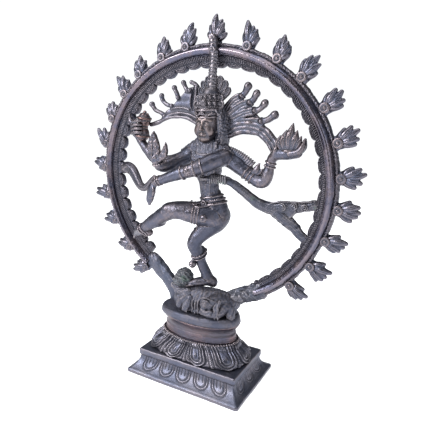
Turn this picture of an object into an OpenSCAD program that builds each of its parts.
// Dancing four-armed figure inside a ring of flames, cast in brass,
// standing on a lotus pedestal with a hollow rectangular base.
// Frame: +Z up, front faces -Y, origin on the ground under the middle of
// the base. All lengths in millimetres.

/* [Base] */
// Width of the base at the ground
base_w = 89; // [86:1:94]
// Depth of the base at the ground
base_d = 59.5; // [57:0.5:63]
// Height of the base, ground to the top of its square slab
base_h = 17; // [16:0.5:17.5]
// Width of the square slab on top of the base
slab_w = 77; // [76:0.5:80]
// Depth of the square slab on top of the base
slab_d = 44; // [43:0.5:47]
// Wall of the hollow base casting
base_wall = 3; // [2.5:0.25:3.5]

/* [Pedestal] */
// Height of the beaded collar above the ground
collar_z = 31.5; // [31:0.25:32]
// Number of beads round the collar
bead_count = 88; // [60:1:88]
// Diameter of one bead
bead_d = 1.3; // [1.1:0.1:1.3]

/* [Flame arch] */
// Height of the centre of the arch above the ground
arch_z = 142.5; // [142:0.25:143]
// Radius of the round rib, at its centre line
rib_r = 83.5; // [83:0.25:84]
// Diameter of the round rib
rib_d = 5.4; // [4.8:0.2:6]
// Distance of the arch's middle behind the figure's axis
arch_y = 7; // [6.5:0.25:7.5]
// Depth of the flat band behind the rib
band_t = 6; // [5:0.5:7]
// Number of lobes along the laced inner edge
lobe_count = 40; // [34:1:44]
// Reach of an ordinary flame, from the centre of the arch
flame_tip_r = 101; // [99:0.5:102]
// Diameter of the boss at the root of each flame
boss_d = 5.2; // [4.4:0.2:5.6]

/* [Fixing] */
// Diameter of the stud that holds the figure on its pedestal
stud_d = 6; // [5:0.5:7]
// Width of the nut across its flats
nut_af = 10; // [9.5:0.5:12]

/* [Hidden] */

bore_play = 0.15;
arch_from = -144;      // arch's left end, degrees from the top
arch_to = 152;         // arch's right end
flame_first = -143;
flame_step = 13.3;
flame_count = 22;
// each flame was set by hand, so it stands a little off the even spacing
flame_dev = [0, -0.5, 0, 0, 0.3, -1, -1.5, -2, -2, -0.5, -1, 0, 1, 1.5, 0, 2, 2.5, 2.5, 1, 1, 0.5, 0];
flame_len = [2, -2, 0, 1, 0, 0, -3, 1, -2, -2, 0, 2.5, 0.5, 0, 2, 0, 0.5, 0.4, -1, -1.5, 0, 0];
function flame_a(i) = flame_first + flame_step * i + flame_dev[i];

brass_dark = [0.30, 0.27, 0.28];
brass_mid = [0.40, 0.34, 0.33];
brass_worn = [0.55, 0.44, 0.38];
brass_red = [0.42, 0.28, 0.25];
steel = [0.55, 0.55, 0.56];

// ---------- lofts and limbs ----------
function unit(v) = v / norm(v);
function v3(p) = [p[0], p[1], p[2]];
function crom(a, b, c, d, t) =
  0.5 * (2 * b + (c - a) * t + (2 * a - 5 * b + 4 * c - d) * t * t + (3 * b - a - 3 * c + d) * t * t * t);
// smooth curve through the points P, k steps for each stretch
function smooth(P, k) = let(n = len(P)) concat(
  [for (i = [0:n - 2]) for (j = [0:k - 1])
    crom(P[max(i - 1, 0)], P[i], P[i + 1], P[min(i + 2, n - 1)], j / k)], [P[n - 1]]);
function tangent(P, i) = unit(v3(P[min(i + 1, len(P) - 1)]) - v3(P[max(i - 1, 0)]));
// one ring of a limb: round about the tangent t, squashed by f along ref
function ring(c, t, r, f, n, ref) = let(u = unit(cross(t, ref)), v = cross(u, t))
  [for (i = [0:n - 1]) c + r * cos(360 * i / n) * u + r * f * sin(360 * i / n) * v];

// solid skin over a stack of rings
module loft(R) {
  n = len(R[0]);
  m = len(R);
  polyhedron(
    points = [for (r = R) for (p = r) p],
    faces = concat(
      [[for (i = [0:n - 1]) i]],
      [for (j = [0:m - 2]) for (i = [0:n - 1]) for (t = [0:1])
        let(a = j * n + i, b = j * n + (i + 1) % n, c = b + n, d = a + n)
        t == 0 ? [a, c, b] : [a, d, c]],
      [[for (i = [n - 1:-1:0]) (m - 1) * n + i]]));
}

// round limb along P = [[x, y, z, radius], ...] with domed ends
module limb(P, n = 10, k = 2, f = 1, ref = [0, 1, 0]) {
  S = smooth(P, k);
  m = len(S);
  t0 = tangent(S, 0);
  t1 = tangent(S, m - 1);
  r0 = S[0][3];
  r1 = S[m - 1][3];
  loft(concat(
    [ring(v3(S[0]) - t0 * r0 * 0.9, t0, r0 * 0.35, f, n, ref),
     ring(v3(S[0]) - t0 * r0 * 0.55, t0, r0 * 0.8, f, n, ref)],
    [for (i = [0:m - 1]) ring(v3(S[i]), tangent(S, i), S[i][3], f, n, ref)],
    [ring(v3(S[m - 1]) + t1 * r1 * 0.55, t1, r1 * 0.8, f, n, ref),
     ring(v3(S[m - 1]) + t1 * r1 * 0.9, t1, r1 * 0.35, f, n, ref)]));
}

// level oval ring: half width a, half depth b, squareness q (2 is an ellipse)
function spow(v, e) = sign(v) * pow(abs(v), e);
function oval(a, b, z, n = 48, q = 2, x = 0, y = 0) =
  [for (i = [0:n - 1]) [x + a * spow(cos(-360 * i / n), 2 / q), y + b * spow(sin(-360 * i / n), 2 / q), z]];

// flat strand in a plane along P = [[x, y, half width], ...] with a round end
function edge_dir(P, i) = let(d = P[min(i + 1, len(P) - 1)] - P[max(i - 1, 0)]) [-d[1], d[0]] / norm([d[0], d[1]]);
module strand(P, k = 3) {
  S = smooth(P, k);
  m = len(S);
  polygon(concat(
    [for (i = [0:m - 1]) [S[i][0], S[i][1]] + edge_dir(S, i) * S[i][2]],
    [for (i = [m - 1:-1:0]) [S[i][0], S[i][1]] - edge_dir(S, i) * S[i][2]]));
  translate([S[m - 1][0], S[m - 1][1]]) circle(r = S[m - 1][2] * 1.05, $fn = 24);
}

// turned band round a limb, at c, facing along d
module band(c, d, r, t = 1.1, w = 1.6) {
  translate(c)
    rotate([0, acos(unit(d)[2]), atan2(d[1], d[0])])
      rotate_extrude($fn = 40) translate([r, 0]) scale([t, t]) circle(d = 2, $fn = 16);
}

// place children in the plane of the arch, at angle a from the top
module on_arch(a, r, y) {
  translate([0, 0, arch_z]) rotate([0, a, 0]) translate([0, y, r]) children();
}
// turn a flat section (r, -y) round the arch
module arch_sweep() {
  translate([0, 0, arch_z]) rotate([90, 0, 0]) rotate([0, 0, 90 - arch_to])
    rotate_extrude(angle = arch_to - arch_from, $fn = 180) children();
}

// ---------- pedestal ----------
// section of the base: rim, hollow flare, square slab
function base_side(w, sw, h) = [for (s = [0:6]) let(t = s / 6)
  [sw / 2 + (w / 2 - 1.5 - sw / 2) * pow(1 - t, 2), 3.2 + (h - 5.2 - 3.2) * t]];
function base_outline(w, sw, h) = let(R = concat([[w / 2, 0], [w / 2, 2.6]], base_side(w, sw, h), [[sw / 2 + 0.6, h - 4.6], [sw / 2 + 0.6, h - 0.8], [sw / 2, h]]))
  concat(R, [for (i = [len(R) - 1:-1:0]) [-R[i][0], R[i][1]]]);
function cavity_outline(w, sw, h, t) = [[w / 2 - t, -1], [w / 2 - t - 0.5, 3], [sw / 2 - t, h - 6], [sw / 2 - t - 1, h - t],
  [-(sw / 2 - t - 1), h - t], [-(sw / 2 - t), h - 6], [-(w / 2 - t - 0.5), 3], [-(w / 2 - t), -1]];

module base_shell() {
  color(brass_mid) difference() {
    intersection() {
      rotate([90, 0, 0]) linear_extrude(base_d + 4, center = true) polygon(base_outline(base_w, slab_w, base_h));
      rotate([90, 0, 90]) linear_extrude(base_w + 4, center = true) polygon(base_outline(base_d, slab_d, base_h));
    }
    intersection() {
      rotate([90, 0, 0]) linear_extrude(base_d, center = true) polygon(cavity_outline(base_w, slab_w, base_h, base_wall));
      rotate([90, 0, 90]) linear_extrude(base_w, center = true) polygon(cavity_outline(base_d, slab_d, base_h, base_wall));
    }
    // open way up into the lotus
    translate([-22, -10, base_h - base_wall - 2]) cube([44, 20, base_wall + 4]);
  }
}

module lotus_bell() {
  color(brass_dark) difference() {
    loft([oval(36.5, 20.5, base_h, q = 2.7), oval(37.5, 21.3, base_h + 1.5, q = 2.7), oval(37.6, 21.4, base_h + 3.5, q = 2.6),
      oval(36, 20, base_h + 7, q = 2.4), oval(31.5, 17, base_h + 10.5, q = 2.2), oval(26.5, 13.8, base_h + 13, q = 2), oval(25.5, 13, collar_z - 0.5)]);
    translate([-20, -9, base_h - 1]) cube([40, 18, 10.5]);
    translate([0, 0, base_h + 5]) cylinder(d = stud_d + 2 * bore_play, h = 20, $fn = 48);
  }
}

module bead_collar() {
  color(brass_worn) for (i = [0:bead_count - 1])
    let(t = 360 * i / bead_count, e = t + 10.4 * sin(2 * t) + 2 * sin(4 * t)) // even steps along the oval
      translate([25.9 * cos(e), 13.4 * sin(e), collar_z + 0.1]) sphere(d = bead_d, $fn = 16);
}

module oval_plinth() {
  color(brass_red) difference() {
    loft([oval(24.5, 12.2, collar_z - 0.5, 40), oval(26.5, 14.2, collar_z + 1.5, 40), oval(28.5, 15.6, collar_z + 2, 40), oval(28.8, 15.8, collar_z + 4.5, 40),
      oval(27.6, 14.8, collar_z + 5, 40), oval(27.6, 15, collar_z + 8, 40), oval(29.5, 16.4, collar_z + 11, 40), oval(30.5, 17, collar_z + 12.5, 40)]);
    translate([0, 0, collar_z - 2]) cylinder(d = stud_d + 2 * bore_play, h = 20, $fn = 48);
  }
}

slab_z = 44;
module figure_slab() {
  color(brass_dark) difference() {
    loft([oval(30.5, 16.8, slab_z, 40, 2.2), oval(32, 18, slab_z + 1.5, 40, 2.3), oval(32.5, 18.3, slab_z + 4, 40, 2.3), oval(31, 17, slab_z + 6, 40, 2.3)]);
    translate([0, 0, slab_z - 1]) cylinder(d = stud_d - 0.4, h = 5, $fn = 48);
    for (x = [-23, 23]) translate([x, 4, slab_z + 2]) cylinder(d = 4.2, h = 6, $fn = 32);
  }
}

module fixing_stud() {
  color(steel) union() {
    translate([0, 0, 21]) cylinder(d = stud_d - 0.4, h = slab_z + 4 - 21, $fn = 48);
    for (i = [0:3]) translate([0, 0, 21.6 + i * 1.1]) cylinder(d1 = stud_d - 0.4, d2 = stud_d, h = 0.5, $fn = 48);
  }
}
module fixing_washer() {
  color(steel) translate([0, 0, 26.6]) difference() {
    cylinder(d = 12.5, h = 1.2, $fn = 48);
    translate([0, 0, -1]) cylinder(d = stud_d + 0.4, h = 4, $fn = 48);
  }
}
module fixing_nut() {
  color(steel) translate([0, 0, 22]) difference() {
    cylinder(d = nut_af / cos(30), h = 4.6, $fn = 6);
    translate([0, 0, -1]) cylinder(d = stud_d + 0.1, h = 8, $fn = 48);
  }
}

// ---------- the dwarf under the foot ----------
module dwarf_body() {
  color(brass_dark) limb([[-13, -5, 57, 5], [-6, -5, 59.5, 7], [5, -4, 59.5, 7.4], [14, -1, 58, 7], [21, 3, 55.5, 5.5]], f = 1.1);
}
module dwarf_head() {
  color(brass_dark) limb([[-9.5, -6, 69, 5], [-8, -4.5, 72.5, 6.4], [-6.5, -3, 75, 4.5]]);
}
module dwarf_arms() {
  color(brass_mid) union() {
    limb([[-10, -9, 62, 3.2], [-18, -9, 62.5, 3], [-20.5, -8, 65, 2.6]]);
    limb([[-9, -12, 57, 3.4], [-13, -14, 53, 2.8], [-9, -15, 51.5, 2.4]]);
  }
}
module dwarf_legs() {
  color(brass_mid) union() {
    limb([[12, -4, 58, 5], [11, -11, 57.5, 4.2], [10, -13, 52.5, 3]]);
    limb([[20, 0, 55, 4.2], [19, -8, 54, 3.2], [17, -12, 51.5, 2.4]]);
  }
}

// ---------- legs ----------
module standing_leg() {
  color(brass_mid) limb([[12, -0.5, 116, 9.2], [6, -3, 108, 8.2], [-1.5, -6, 100.5, 6.3], [-2, -5.5, 95, 5.4], [0.5, -2, 86, 4.6], [2.5, 0, 79, 3.6], [6, 1.2, 72, 4]]);
}
module standing_foot() {
  color(brass_mid) limb([[9, 2, 70.3, 3.6], [1, -1.5, 69.6, 3.2], [-8, -5.5, 68.8, 2.3]], f = 1.2, ref = [0, 0, 1]);
}
module standing_anklet() {
  color(brass_worn) union() {
    band([-0.5, -3.5, 90.5], [2, 3, -9], 5, 0.9);
    band([0.2, -2.5, 87.5], [2, 3, -9], 4.9, 0.9);
    translate([-1.8, -5.6, 82]) sphere(r = 2.6, $fn = 24);
  }
}
module raised_leg() {
  color(brass_mid) limb([[9, -3, 118.5, 9.2], [-2, -8, 120.5, 8.2], [-14.5, -13, 122, 6.3], [-19, -14, 120.3, 5.8], [-26, -13.5, 115.5, 5.3], [-34, -12.5, 110.5, 4.8], [-43, -11, 104.5, 3.7]]);
}
module raised_foot() {
  color(brass_mid) limb([[-37, -8.5, 102, 3], [-45, -9.5, 102.5, 3.6], [-54, -7.5, 98.5, 3.2], [-64, -4, 91.5, 2.2]], f = 0.85);
}
module raised_anklet() {
  color(brass_worn) union() {
    band([-41.5, -11.2, 105.5], [-9, 1.5, -6], 4.1, 0.8);
    band([-43.5, -10.9, 104.2], [-9, 1.5, -6], 3.9, 0.8);
  }
}
module thigh_bands() {
  color(brass_worn) union() {
    band([-1, -7.6, 120.3], [-11, -5, 2], 8.5, 0.8);
    band([2.2, -6.2, 119.8], [-11, -5, 2], 8.8, 0.8);
    translate([9, -12, 119]) sphere(r = 2.4, $fn = 24);
  }
}

// ---------- trunk ----------
module hips() {
  color(brass_mid) limb([[8, -0.5, 130, 8.2], [10.5, 0, 124, 9.8], [11, 0, 118, 10.3], [9, -0.5, 112.5, 7.5]], f = 0.85);
}
module waist_belt() {
  color(brass_worn) for (i = [0:2]) band([7.2 + 0.7 * i, -0.6, 131 - 2.4 * i], [-2, 0, 8], 8.3 + 0.6 * i, 0.9);
}
module torso() {
  color(brass_dark) limb([[7.5, -0.5, 129, 7.8], [6, -1, 138, 6.9], [5.2, -1, 145, 7.8], [5, -1, 152, 10], [4.8, -0.5, 158.5, 10.5], [4.5, 0, 163, 6], [4.6, -0.5, 168, 4.4]], f = 0.78);
}
module necklace() {
  color(brass_worn) union() {
    translate([4.6, -0.5, 162.5]) rotate([18, 0, 0]) rotate_extrude($fn = 48) translate([6.6, 0]) circle(r = 0.8, $fn = 16);
    translate([4.8, -1.2, 159.3]) rotate([18, 0, 0]) rotate_extrude($fn = 48) translate([8.2, 0]) circle(r = 0.8, $fn = 16);
  }
}

// ---------- front arms ----------
module front_left_arm() {
  color(brass_mid) limb([[18.5, -2, 158, 5.2], [13, -10, 155.5, 5.2], [5, -15, 152, 4.9], [-6, -17, 148.5, 4.4], [-16, -17.5, 144.8, 3.7], [-25, -18, 141.3, 3]], ref = [0, 0, 1]);
}
module front_left_armlet() {
  color(brass_worn) union() {
    band([6.5, -14.3, 152.5], [8, 4, 2.6], 5.3, 0.8);
    band([3, -15.6, 151.4], [8, 3, 2.6], 5.2, 0.8);
    band([-3.5, -16.7, 149.2], [8, 2, 2.6], 4.9, 0.8);
    translate([0.5, -20.4, 150]) sphere(r = 2.2, $fn = 24);
  }
}
module front_left_bracelet() {
  color(brass_worn) union() {
    band([-23, -18, 142], [8, 0, 3.2], 3.5, 0.7);
    band([-25, -18, 141.2], [8, 0, 3.2], 3.4, 0.7);
  }
}
module front_left_hand() {
  color(brass_mid) limb([[-26, -18, 140.2, 2.8], [-28.6, -18.2, 135.5, 3.9], [-30, -18.2, 130.5, 3.2], [-31.3, -17.8, 126.5, 1.8]], f = 0.7);
}
module front_right_arm() {
  color(brass_mid) limb([[-8, -2, 158.5, 5.2], [-14.5, -6, 154.8, 4.8], [-21, -11, 150.8, 4.4], [-25, -15, 152.5, 3.6]], ref = [0, 0, 1]);
}
module front_right_bracelet() {
  color(brass_worn) union() {
    band([-25, -15.5, 153.4], [-1, -3, 6], 3.9, 0.8);
    band([-25.3, -16.2, 155.4], [-1, -3, 6], 3.9, 0.8);
  }
}
module front_right_hand() {
  color(brass_mid) translate([0, -15.8, 0]) rotate([90, 0, 0]) linear_extrude(4.4)
    polygon([[-28.6, 154.5], [-30.4, 159], [-30.6, 163], [-29.4, 168], [-26.8, 173], [-25.2, 175.2], [-23.2, 171.5], [-21.6, 166], [-21.2, 162],
      [-19.4, 164.2], [-17, 167.6], [-15, 164], [-15.4, 159.6], [-18.6, 156], [-22.4, 154]]);
}

// ---------- rear arms ----------
module rear_right_arm() {
  color(brass_dark) limb([[-7, 1.5, 158, 5], [-20, 1.5, 154.5, 4.5], [-34, 0.5, 153, 4.1], [-41, 0, 156, 3.9], [-49, 0, 164, 3.4], [-54.5, 0, 170.5, 2.8]]);
}
module rear_right_hand() {
  color(brass_dark) limb([[-54.5, 0, 171, 2.8], [-57, 0, 177, 2.5], [-56, -0.5, 181, 1.3]]);
}
module drum() {
  color(brass_mid) translate([-47, -1, 176]) rotate([0, 8, 0]) union() {
    rotate_extrude($fn = 48) polygon([[0, -7], [5, -7], [5.6, -6], [5, -4.8], [2.4, 0], [5, 4.8], [5.6, 6], [5, 7], [0, 7]]);
    translate([0, 0, 8]) sphere(r = 2, $fn = 24);
  }
}
module rear_left_arm() {
  color(brass_mid) limb([[18, 0.5, 158, 5.6], [27, 1, 153, 5.4], [35, 1, 148, 4.7], [41, 0, 144.3, 4.4], [44.8, 0, 145.5, 4.3], [47, -0.5, 150, 4], [48.6, -1, 156.5, 3.2]]);
}
module rear_left_armlet() {
  color(brass_worn) union() {
    band([33, 1, 149.3], [7, 0, -4.6], 5.1, 0.8);
    band([36, 1, 147.3], [7, 0, -4.6], 4.9, 0.8);
    translate([42, 0.5, 150.3]) sphere(r = 2.2, $fn = 24);
  }
}
module rear_left_bracelet() {
  color(brass_worn) union() {
    band([48.2, -1, 155.5], [1, 0, 5], 3.8, 0.8);
    band([48.8, -1, 158], [1.6, 0, 5], 3.7, 0.8);
  }
}
module rear_left_hand() {
  color(brass_mid) union() {
    limb([[49.5, -1.5, 159.5, 3.2], [55, -3, 162.5, 4.4], [62, -3, 162.8, 4.2], [68, -3, 165, 3.4], [70.5, -3, 171, 1.4]], f = 0.9);
  }
}
module flame_bowl() {
  color(brass_worn) translate([60, -3, 166]) rotate([90, 0, 0]) linear_extrude(4.5, center = true)
    polygon([[-5, -2], [-6.5, 2], [-6, 5], [-4, 6.5], [-2.8, 10], [-0.8, 11.5], [1.6, 15], [3, 11.5], [5.5, 9.5], [6, 5], [6.6, 2], [5, -2]]);
}
module shoulder_tassel() {
  // comb of short threads along the top of the shoulder
  color(brass_dark) translate([0, 2.6, 0]) rotate([90, 0, 0]) linear_extrude(3.4) polygon(concat(
    [for (i = [0:14]) let(t = i / 14) [16 + 20.5 * t, 165.5 - 2 * t - 6 * t * t + (i % 2 == 0 ? 0.7 : 0)]],
    [[33.5, 153.5], [26, 157.5], [17, 160]]));
}

// ---------- head ----------
module head() {
  color(brass_worn) limb([[5.2, -4.5, 168.5, 4], [5.2, -3.6, 172.5, 7], [5.4, -3, 178, 8.2], [5.6, -2.4, 184, 8.2], [5.8, -2, 188, 6.5]], n = 16);
}
// hair gathered behind the head and down the figure's left side
module hair_mass() {
  color(brass_dark) limb([[12, 2, 166, 5], [13, 2.5, 173, 6.4], [12, 2.5, 180, 7.4], [9, 1, 186, 7.2]]);
}
module headband() {
  color(brass_worn) union() {
    translate([5.6, -2.4, 184]) rotate([-6, 0, 0]) rotate_extrude($fn = 56) translate([8.6, 0]) circle(r = 1, $fn = 16);
    translate([5.6, -2.2, 186.5]) rotate([-6, 0, 0]) rotate_extrude($fn = 56) translate([8, 0]) circle(r = 1, $fn = 16);
  }
}
module crown() {
  color(brass_dark) translate([6.4, -2, 186]) rotate([0, 4, 0])
    rotate_extrude($fn = 56) polygon([[0, 0], [8.4, 0], [8.8, 1.5], [7.8, 2.6], [8.4, 4.2], [7.6, 5.6], [7.8, 7.4], [6.2, 9], [6, 12], [0, 12]]);
}
// seven broad feathers that spread behind the crown
module feather_fan() {
  color(brass_mid) for (i = [-3:3]) translate([8.2, -1, 190]) rotate([0, i * 14, 0])
    rotate([90, 0, 0]) linear_extrude(4 - 0.4 * abs(i), center = true)
      polygon([[-1, 0], [-2.2, 12], [-2.6, 16.5], [-1.4, 18.6 - abs(i)], [0, 19.6 - abs(i)], [1.4, 18.6 - abs(i)], [2.6, 16.5], [2.2, 12], [1, 0]]);
}
module crown_strut() {
  color(brass_worn) limb([[8, -3, 198, 2.4], [8, -2, 206, 2.6], [7.8, -0.5, 213, 2.7], [7.4, 1, 220, 2.7], [7, 0.6, 229, 2.4], [6.6, 2.4, 236, 2]]);
}
module strut_rosette() {
  color(brass_worn) union() {
    translate([7, -1.8, 227]) rotate([90, 0, 0]) cylinder(d = 4.6, h = 1.6, $fn = 4);
    translate([6.2, -0.2, 232.6]) rotate([90, 0, 0]) cylinder(d = 5.4, h = 1.8, $fn = 4);
  }
}
module hair_fan_left() {
  // webbed plate with five curled locks and a long lower strand
  color(brass_dark) translate([0, 3.6, 0]) rotate([90, 0, 0]) linear_extrude(3.2) union() {
    polygon([[-1, 180], [-9, 183.5], [-18, 184.5], [-27, 182.2], [-33, 183], [-32, 186.5], [-26, 189.5], [-22, 193.5], [-17, 196], [-13, 200], [-8, 202], [-3, 201], [0, 196]]);
    strand([[-2, 182, 2.2], [-10, 185, 1.9], [-18, 185, 1.8], [-28, 181.5, 1.7], [-38, 178.3, 1.6], [-43, 177.6, 1.5]]);
    strand([[-28, 185.5, 1.7], [-34, 185, 1.6], [-39.5, 188.5, 1.6], [-42, 191.5, 1.9]]);
    strand([[-22, 191, 1.7], [-28, 190.5, 1.6], [-32, 194, 1.6], [-32.5, 196.5, 1.9]]);
    strand([[-16, 195, 1.8], [-20.5, 198.5, 1.6], [-23.2, 201.5, 2]]);
    strand([[-10, 199.5, 1.8], [-13.5, 203, 1.6], [-15.8, 205, 2]]);
    strand([[-5.5, 200.5, 1.6], [-8.5, 204.5, 1.5], [-10, 206, 1.5]]);
  }
}
module hair_fan_right() {
  // four thick locks with round ends and a broad strand down to the hand
  color(brass_dark) translate([0, 4.6, 0]) rotate([90, 0, 0]) linear_extrude(4.4) union() {
    polygon([[14, 170], [14, 190], [20, 195], [26, 196], [32, 191.5], [36, 187], [40, 181.5], [30, 177], [20, 172]]);
    strand([[16, 185, 3.2], [19, 192, 3], [24, 196, 2.5], [28, 198.5, 2], [30.8, 202.3, 2.2]]);
    strand([[16, 181, 3.2], [22, 188.5, 3], [29, 191.5, 2.5], [33.4, 193.8, 2], [36.3, 197.6, 2.2]]);
    strand([[16, 178, 3.2], [24, 184.5, 3], [32, 187, 2.5], [38, 188.3, 2], [42, 191.8, 2.3]]);
    strand([[16, 175.5, 3], [26, 180.5, 2.9], [36, 181.2, 2.5], [43, 182, 2], [48.8, 185.4, 2.6]]);
    strand([[15, 172, 3.2], [24, 176, 3.2], [33, 175.5, 3.2], [41, 170.5, 2.9], [47, 163.5, 2.4], [49, 159.5, 2]]);
  }
}

// ---------- cobra and sash ----------
module cobra() {
  color(brass_dark) union() {
    limb([[-66, -0.5, 143.5, 2.2], [-62.5, -2.5, 146.2, 3.8], [-57, -4, 147.8, 3.9], [-51.5, -5.5, 145, 3.6], [-47.5, -7, 139.5, 3.3], [-43.5, -9, 135, 3], [-38.5, -11, 135, 2.2], [-33, -13.5, 140, 1.5], [-27.5, -15, 144.5, 1.2]]);
  }
}
module waist_sash() {
  color(brass_dark) limb([[10, -4, 145, 2.6], [20, -3, 144.6, 2.8], [27, -1.5, 142.5, 2.8], [34, 0, 137.5, 3], [42, 1.5, 131.5, 3.6], [51, 3, 128.6, 4], [59, 4, 128, 4.2], [68, 5.5, 129.8, 3.2], [76, 6.5, 132, 2.8]], f = 0.7);
}
module sash_tail() {
  color(brass_dark) limb([[50, 3, 127.5, 3.4], [58, 4, 121.5, 3.6], [65, 5.5, 115, 3.2], [70, 6.5, 110.5, 2.6]], f = 0.7);
}

// ---------- flame arch ----------
module arch_band() {
  color(brass_dark) arch_sweep() difference() {
    translate([79, -(arch_y + band_t / 2)]) square([9, band_t]);
    translate([rib_r, -(arch_y - band_t / 2)]) circle(d = rib_d, $fn = 32);
  }
}
module arch_rib() {
  color(brass_worn) arch_sweep() translate([rib_r, -(arch_y - band_t / 2)]) circle(d = rib_d, $fn = 32);
}
// lace border: a lobe every few degrees along the inner edge
module arch_lace() {
  sweep = arch_to - arch_from - 6;
  steps = lobe_count * 4;
  color(brass_dark) translate([0, arch_y + band_t / 2 - 0.4, arch_z]) rotate([90, 0, 0]) linear_extrude(band_t - 1.4) polygon(concat(
    [for (i = [0:steps]) let(a = arch_from + 4 + sweep * i / steps) [79.05 * sin(a), 79.05 * cos(a)]],
    [for (i = [steps:-1:0]) let(a = arch_from + 4 + sweep * i / steps, r = 75.6 - 3 * sqrt(abs(sin(180 * i / 4)))) [r * sin(a), r * cos(a)]]));
}
// five-tongued flame, root on the band
module flame(l) {
  rotate([90, 0, 0]) linear_extrude(4, center = true) polygon([[-4.6, 87.6], [-5.8, 90.5], [-6, 94], [-4.6, l - 5.5], [-4, 94.6],
    [-3, l - 2.8], [-1.6, 95.6], [0.4, l], [1.6, 95.6], [3.2, l - 2.4], [3.9, 94.4], [5.2, l - 6], [6, 93], [5.6, 90], [4.2, 87.6]]);
}
module flames() {
  color(brass_mid) for (i = [0:flame_count - 1])
    translate([0, arch_y, arch_z]) rotate([0, flame_a(i), 0]) flame(flame_tip_r + flame_len[i]);
}
module flame_bosses() {
  color(brass_worn) for (i = [0:flame_count - 1]) on_arch(flame_a(i) - 0.6, 89.6, arch_y - 1.6)
    rotate([90, 0, 0]) rotate_extrude($fn = 32) polygon([[0, 0], [boss_d / 2, 0], [boss_d / 2, 1.2], [boss_d / 2 - 0.7, 2], [0, 2.6]]);
}
module arch_foot_left() {
  color(brass_dark) limb([[-49.5, 6.5, 81, 6.4], [-43, 6, 75, 6.6], [-35, 4.5, 68, 6.2], [-27, 3, 61, 5.6], [-23, 2.5, 55, 5.2], [-22, 3, 51.5, 5]], f = 0.75);
}
module arch_foot_right() {
  color(brass_dark) limb([[40, 6.5, 68, 6], [33, 6, 64.5, 5.6], [26, 5, 61.5, 5.2], [20, 3, 60, 4]], f = 0.8);
}
// strut from the arch's right end down to the slab
module arch_brace() {
  color(brass_dark) limb([[27, 4.5, 62, 4], [24, 4, 56, 3.6], [22.5, 4, 51.5, 4.4]]);
}
module arch_tenons() {
  color(brass_mid) for (x = [-23, 23]) translate([x, 4, slab_z + 2.2]) cylinder(d = 4, h = 7, $fn = 32);
}

base_shell();
lotus_bell();
bead_collar();
oval_plinth();
figure_slab();
fixing_stud();
fixing_washer();
fixing_nut();
dwarf_body();
dwarf_head();
dwarf_arms();
dwarf_legs();
standing_leg();
standing_foot();
standing_anklet();
raised_leg();
raised_foot();
raised_anklet();
thigh_bands();
hips();
waist_belt();
torso();
necklace();
front_left_arm();
front_left_armlet();
front_left_bracelet();
front_left_hand();
front_right_arm();
front_right_bracelet();
front_right_hand();
rear_right_arm();
rear_right_hand();
drum();
rear_left_arm();
rear_left_armlet();
rear_left_bracelet();
rear_left_hand();
flame_bowl();
shoulder_tassel();
head();
hair_mass();
headband();
crown();
feather_fan();
crown_strut();
strut_rosette();
hair_fan_left();
hair_fan_right();
cobra();
waist_sash();
sash_tail();
arch_band();
arch_rib();
arch_lace();
flames();
flame_bosses();
arch_foot_left();
arch_foot_right();
arch_brace();
arch_tenons();
